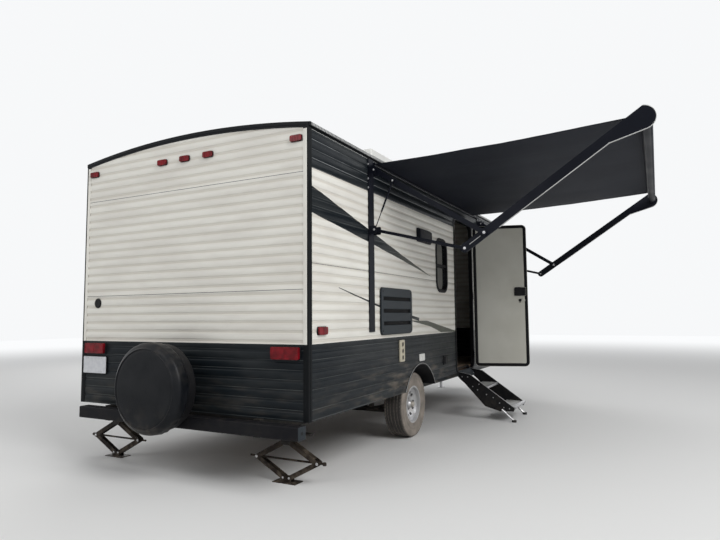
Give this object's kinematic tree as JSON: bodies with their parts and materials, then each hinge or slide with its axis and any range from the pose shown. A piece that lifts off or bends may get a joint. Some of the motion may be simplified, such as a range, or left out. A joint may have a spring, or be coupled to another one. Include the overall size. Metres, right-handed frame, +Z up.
{
  "type": "single-axle travel caravan with a side awning",
  "caption": "Hard-sided single-axle travel caravan parked on its tongue jack, with entry door and steps open, side awning out and rear spare wheel.",
  "frame": {"origin": "centre of the tongue jack's foot, on the ground", "axes": "+X forward to the coupler, +Y to the caravan's left, +Z up"},
  "size_m": [6.8249, 4.8309, 3.092],
  "materials": {
    "siding_paint": "ribbed painted aluminium, white above and charcoal below",
    "wall_core": "plywood panel",
    "roof_skin": "smooth membrane",
    "black_trim": "black",
    "frame_paint": "black chassis paint",
    "bright_steel": "zinc plated",
    "tyre_rubber": "dusty tread rubber",
    "rim_paint": "silver paint",
    "cover_vinyl": "black vinyl",
    "door_skin": "pale textured panel",
    "tinted_glass": "dark tint",
    "lamp_red": "red lens",
    "white_plastic": "moulded white",
    "black_plastic": "moulded black",
    "awning_cloth": "woven charcoal vinyl",
    "awning_paint": "black powder coat",
    "plate_white": "white blank plate",
    "step_metal": "black anodised with bright nosings"
  },
  "bodies": {
    "caravan": {"chassis": "frame_paint", "coupler": "frame_paint", "floor": "wall_core", "wall_rear": "wall_core", "wall_front": "siding_paint", "wall_left": "wall_core", "wall_right": "wall_core", "roof": "roof_skin", "siding": "siding_paint", "edge_trims": "black_trim", "bumper": "frame_paint", "spare_wheel": "tyre_rubber", "spare_cover": "cover_vinyl", "axle": "frame_paint", "springs": "frame_paint", "wheel_wells": "black_plastic", "door_frame": "black_trim", "window_frames": "black_trim", "window_glass": "tinted_glass", "fridge_vent": "black_plastic", "side_fittings": "white_plastic", "roof_vent": "white_plastic", "fridge_cap": "white_plastic", "air_conditioner": "white_plastic", "awning_base": "awning_paint", "awning_fabric": "awning_cloth", "gas_cover": "black_plastic", "battery_box": "black_plastic", "jack_tube": "frame_paint", "lamps": "lamp_red", "number_plate": "plate_white"},
    "wheel_right": {"tyre_right": "tyre_rubber", "rim_right": "rim_paint"},
    "wheel_left": {"tyre_left": "tyre_rubber", "rim_left": "rim_paint"},
    "entry_door": {"entry_door": "door_skin"},
    "steps": {"steps": "step_metal"},
    "step_legs": {"step_legs": "bright_steel"},
    "hatch_right": {"hatch_right": "siding_paint"},
    "hatch_left": {"hatch_left": "siding_paint"},
    "vent_lid": {"roof_vent_lid": "white_plastic"},
    "jack_ram": {"jack_ram": "bright_steel"},
    "awning_upper": {"awning_upper_arms": "awning_paint"},
    "awning_outer": {"awning_outer_arms": "awning_paint", "awning_roller": "awning_paint"},
    "awning_lower": {"awning_lower_arms": "awning_paint"},
    "strut_barrels": {"strut_barrels": "awning_paint"},
    "strut_rods": {"strut_rods": "bright_steel"},
    "stand_right_upper_a": {"stand_right_upper_a": "frame_paint"},
    "stand_right_upper_b": {"stand_right_upper_b": "frame_paint"},
    "stand_right_lower_a": {"stand_right_lower_a": "frame_paint"},
    "stand_right_lower_b": {"stand_right_lower_b": "frame_paint"},
    "stand_right_foot": {"stand_right_foot": "frame_paint"},
    "stand_right_screw": {"stand_right_screw": "frame_paint"},
    "stand_left_upper_a": {"stand_left_upper_a": "frame_paint"},
    "stand_left_upper_b": {"stand_left_upper_b": "frame_paint"},
    "stand_left_lower_a": {"stand_left_lower_a": "frame_paint"},
    "stand_left_lower_b": {"stand_left_lower_b": "frame_paint"},
    "stand_left_foot": {"stand_left_foot": "frame_paint"},
    "stand_left_screw": {"stand_left_screw": "frame_paint"}
  },
  "joints": [
    {"name": "wheel_right_spin", "type": "hinge", "parent": "caravan", "child": "wheel_right", "pos_m": [-3.995, -1.035, 0.3315], "axis": [0, 1, 0], "continuous": true},
    {"name": "wheel_left_spin", "type": "hinge", "parent": "caravan", "child": "wheel_left", "pos_m": [-3.995, 1.035, 0.3315], "axis": [0, 1, 0], "continuous": true},
    {"name": "entry_door_swing", "type": "hinge", "parent": "caravan", "child": "entry_door", "pos_m": [-2.103, -1.237, 1.5], "axis": [0, 0, 1], "range_deg": [-107.2, 0]},
    {"name": "steps_fold", "type": "hinge", "parent": "caravan", "child": "steps", "pos_m": [-2.468, -1.155, 0.585], "axis": [-1, 0, 0], "range_deg": [0, 142]},
    {"name": "step_leg_slide", "type": "slide", "parent": "steps", "child": "step_legs", "axis": [0, 0.7512, 0.66], "range_m": [-0.03, 0.09]},
    {"name": "hatch_right_lift", "type": "hinge", "parent": "caravan", "child": "hatch_right", "pos_m": [-1.085, -1.228, 1.0125], "axis": [-1, 0, 0], "range_deg": [0, 150]},
    {"name": "hatch_left_lift", "type": "hinge", "parent": "caravan", "child": "hatch_left", "pos_m": [-1.085, 1.228, 1.0125], "axis": [1, 0, 0], "range_deg": [0, 150]},
    {"name": "vent_lid_lift", "type": "hinge", "parent": "caravan", "child": "vent_lid", "pos_m": [-5.142, 0, 2.85], "axis": [0, 1, 0], "range_deg": [0, 70]},
    {"name": "tongue_jack_slide", "type": "slide", "parent": "caravan", "child": "jack_ram", "axis": [0, 0, 1], "range_m": [-0.12, 0.19]},
    {"name": "awning_fold", "type": "hinge", "parent": "caravan", "child": "awning_upper", "pos_m": [-3.44, -1.277, 2.537], "axis": [1, 0, 0], "range_deg": [0, 56.9], "deforming": ["awning_fabric"]},
    {"name": "awning_elbow", "type": "hinge", "parent": "awning_upper", "child": "awning_outer", "pos_m": [-3.44, -2.23619, 1.91171], "axis": [-1, 0, 0], "range_deg": [0, 112.88]},
    {"name": "awning_lower_pivot", "type": "hinge", "parent": "caravan", "child": "awning_lower", "pos_m": [-3.44, -1.277, 2.006], "axis": [1, 0, 0], "range_deg": [0, 75.26]},
    {"name": "strut_pivot", "type": "hinge", "parent": "caravan", "child": "strut_rods", "pos_m": [-3.44, -1.277, 2.006], "axis": [-1, 0, 0], "range_deg": [0, 22.92]},
    {"name": "strut_slide", "type": "slide", "parent": "strut_rods", "child": "strut_barrels", "axis": [0, 0.3892, -0.9211], "range_m": [0, 0.13106]},
    {"name": "stand_right_lift", "type": "hinge", "parent": "caravan", "child": "stand_right_upper_a", "pos_m": [-5.92, -0.908, 0.3], "axis": [-1, 0, 0], "range_deg": [-27, 21.92]},
    {"name": "stand_right_b_top", "type": "hinge", "parent": "caravan", "child": "stand_right_upper_b", "pos_m": [-5.92, -0.852, 0.3], "axis": [-1, 0, 0], "range_deg": [-21.93, 27.01]},
    {"name": "stand_right_a_knee", "type": "hinge", "parent": "stand_right_upper_a", "child": "stand_right_lower_a", "pos_m": [-5.92, -1.15806, 0.1675], "axis": [-1, 0, 0], "range_deg": [-43.84, 54.01]},
    {"name": "stand_right_b_knee", "type": "hinge", "parent": "stand_right_upper_b", "child": "stand_right_lower_b", "pos_m": [-5.92, -0.60193, 0.1675], "axis": [-1, 0, 0], "range_deg": [-54.01, 43.84]},
    {"name": "stand_right_foot_pin", "type": "hinge", "parent": "stand_right_lower_a", "child": "stand_right_foot", "pos_m": [-5.92, -0.908, 0.035], "axis": [-1, 0, 0], "range_deg": [-27.01, 21.93]},
    {"name": "stand_right_screw_pin", "type": "hinge", "parent": "stand_right_upper_a", "child": "stand_right_screw", "pos_m": [-5.92, -1.15806, 0.1675], "axis": [-1, 0, 0], "range_deg": [-21.93, 27.01]},
    {"name": "stand_left_lift", "type": "hinge", "parent": "caravan", "child": "stand_left_upper_a", "pos_m": [-5.92, 1.028, 0.3], "axis": [1, 0, 0], "range_deg": [-27, 21.92]},
    {"name": "stand_left_b_top", "type": "hinge", "parent": "caravan", "child": "stand_left_upper_b", "pos_m": [-5.92, 0.972, 0.3], "axis": [1, 0, 0], "range_deg": [-21.93, 27.01]},
    {"name": "stand_left_a_knee", "type": "hinge", "parent": "stand_left_upper_a", "child": "stand_left_lower_a", "pos_m": [-5.92, 1.27807, 0.1675], "axis": [1, 0, 0], "range_deg": [-43.84, 54.01]},
    {"name": "stand_left_b_knee", "type": "hinge", "parent": "stand_left_upper_b", "child": "stand_left_lower_b", "pos_m": [-5.92, 0.72193, 0.1675], "axis": [1, 0, 0], "range_deg": [-54.01, 43.84]},
    {"name": "stand_left_foot_pin", "type": "hinge", "parent": "stand_left_lower_a", "child": "stand_left_foot", "pos_m": [-5.92, 1.028, 0.035], "axis": [1, 0, 0], "range_deg": [-27.01, 21.93]},
    {"name": "stand_left_screw_pin", "type": "hinge", "parent": "stand_left_upper_a", "child": "stand_left_screw", "pos_m": [-5.92, 1.27807, 0.1675], "axis": [1, 0, 0], "range_deg": [-21.93, 27.01]}
  ],
  "couplings": [
    {"joint": "awning_elbow", "follows": "awning_fold", "ratio": 1.9836},
    {"joint": "awning_lower_pivot", "follows": "awning_fold", "ratio": 1.3224},
    {"joint": "strut_pivot", "follows": "awning_fold", "ratio": 0.40259},
    {"joint": "strut_slide", "follows": "awning_fold", "m_per_rad": 0.13187},
    {"joint": "stand_right_b_top", "follows": "stand_right_lift", "ratio": -1},
    {"joint": "stand_right_a_knee", "follows": "stand_right_lift", "ratio": -2},
    {"joint": "stand_right_b_knee", "follows": "stand_right_lift", "ratio": 2},
    {"joint": "stand_right_foot_pin", "follows": "stand_right_lift", "ratio": 1},
    {"joint": "stand_right_screw_pin", "follows": "stand_right_lift", "ratio": -1},
    {"joint": "stand_left_b_top", "follows": "stand_left_lift", "ratio": -1},
    {"joint": "stand_left_a_knee", "follows": "stand_left_lift", "ratio": -2},
    {"joint": "stand_left_b_knee", "follows": "stand_left_lift", "ratio": 2},
    {"joint": "stand_left_foot_pin", "follows": "stand_left_lift", "ratio": 1},
    {"joint": "stand_left_screw_pin", "follows": "stand_left_lift", "ratio": -1}
  ]
}
